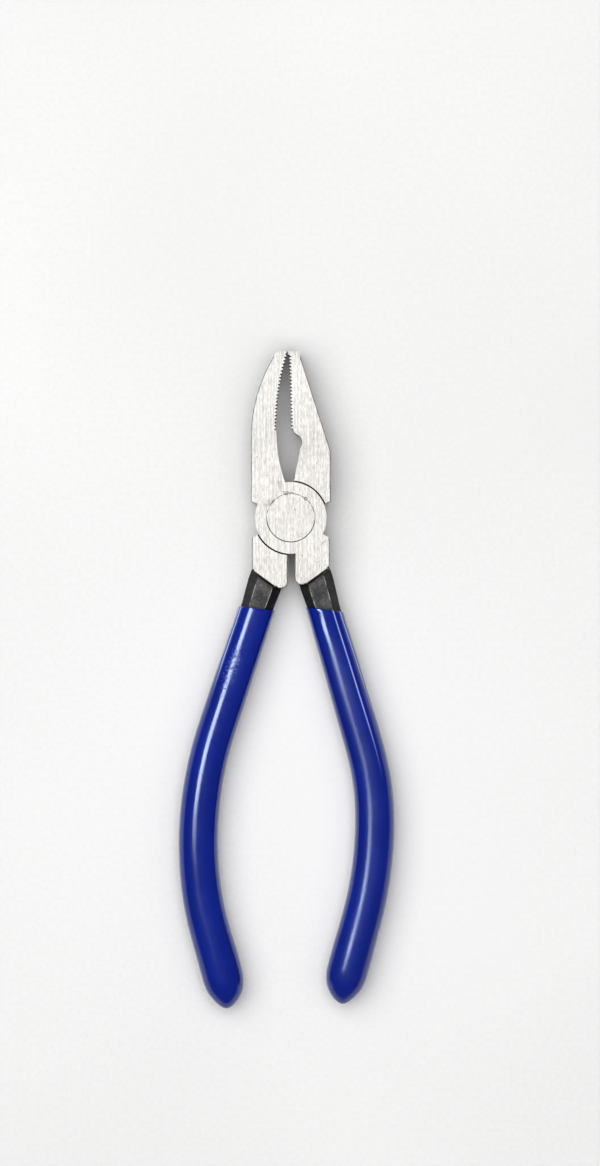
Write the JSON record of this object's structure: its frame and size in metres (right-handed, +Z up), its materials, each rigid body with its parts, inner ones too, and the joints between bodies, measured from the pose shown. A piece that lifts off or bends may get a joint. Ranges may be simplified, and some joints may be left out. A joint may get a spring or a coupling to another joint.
{
  "type": "glass breaking and grozing pliers",
  "caption": "Stained-glass hand pliers with a curved toothed jaw facing a straight toothed jaw, a riveted lap pivot and dipped plastic grips, for breaking and nibbling scored glass.",
  "frame": {"origin": "on the pivot axis, in the plane of the head's underside, which the tool lies on", "axes": "+X towards the flat jaw's side, +Y along the tool towards the jaw tips, +Z up the pivot axis out of the ground top face"},
  "size_m": [0.0525, 0.1597, 0.01],
  "materials": {
    "lever_steel": "ground faces on top and underneath with a fine lengthwise grain; sides, teeth and tang left forged black",
    "rivet_steel": "ground flush with the head, same lengthwise grain",
    "grip_plastic": "glossy royal blue dipped vinyl, smooth and slightly uneven"
  },
  "bodies": {
    "flat_jaw_half": {"flat_jaw_lever": "lever_steel", "flat_lever_grip": "grip_plastic", "pivot_rivet": "rivet_steel"},
    "curved_jaw_half": {"curved_jaw_lever": "lever_steel", "curved_lever_grip": "grip_plastic"}
  },
  "joints": [
    {"name": "jaw_pivot", "type": "hinge", "parent": "flat_jaw_half", "child": "curved_jaw_half", "pos_m": [0, 0, 0], "axis": [0, 0, 1], "range_deg": [0, 48]}
  ]
}
